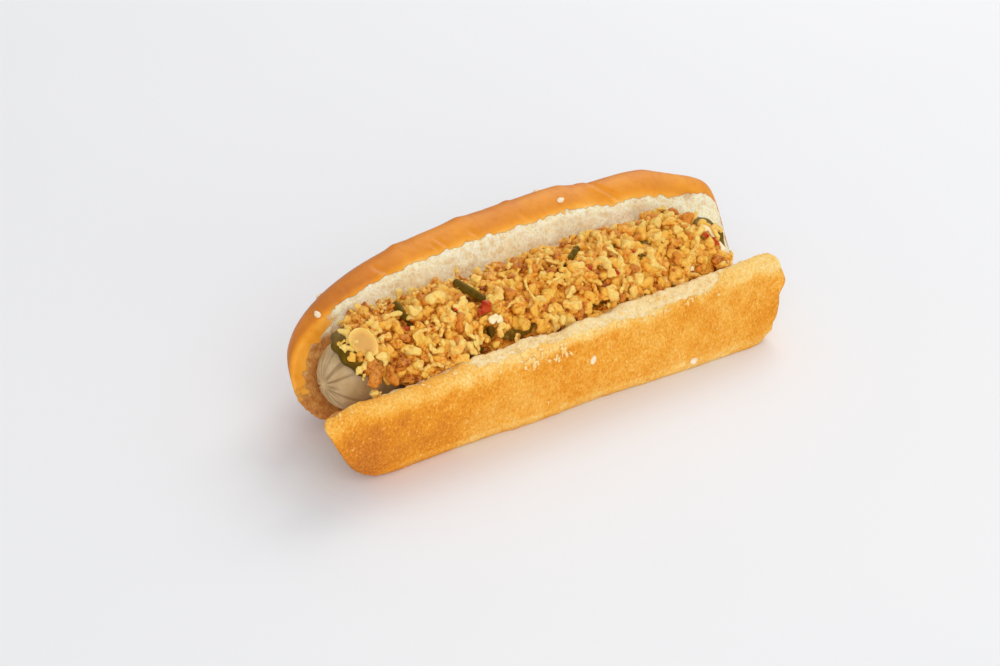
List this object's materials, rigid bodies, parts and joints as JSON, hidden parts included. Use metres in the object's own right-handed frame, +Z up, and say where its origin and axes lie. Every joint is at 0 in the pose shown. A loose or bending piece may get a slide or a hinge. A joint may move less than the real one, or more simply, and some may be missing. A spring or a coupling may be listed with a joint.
{
  "type": "hot dog",
  "caption": "Filled hot dog lying open on its side: soft split bun with a sausage, pickle slices and a heap of fried onions.",
  "frame": {"origin": "on the resting surface, under the middle of the hot dog's bounding box", "axes": "+X along the bun, +Z up; the slot opens upwards and towards -Y, the side of the low front flap"},
  "size_m": [0.202, 0.073, 0.0488],
  "materials": {
    "bun": "baked soft bread crust with pale crumb on the cut faces",
    "sausage": "pale boiled sausage skin, faintly moist",
    "pickle": "wet translucent pickle with a dark skin",
    "onions": "crisp fried onion flakes"
  },
  "bodies": {
    "root": {"bun": "bun", "sausage": "sausage", "fried_onions": "onions", "pickle_wrapped_1": "pickle", "pickle_wrapped_2": "pickle", "pickle_wrapped_3": "pickle", "pickle_wrapped_4": "pickle", "pickle_wrapped_5": "pickle", "pickle_wrapped_6": "pickle", "pickle_standing_1": "pickle", "pickle_standing_2": "pickle", "pickle_standing_3": "pickle"}
  },
  "joints": []
}
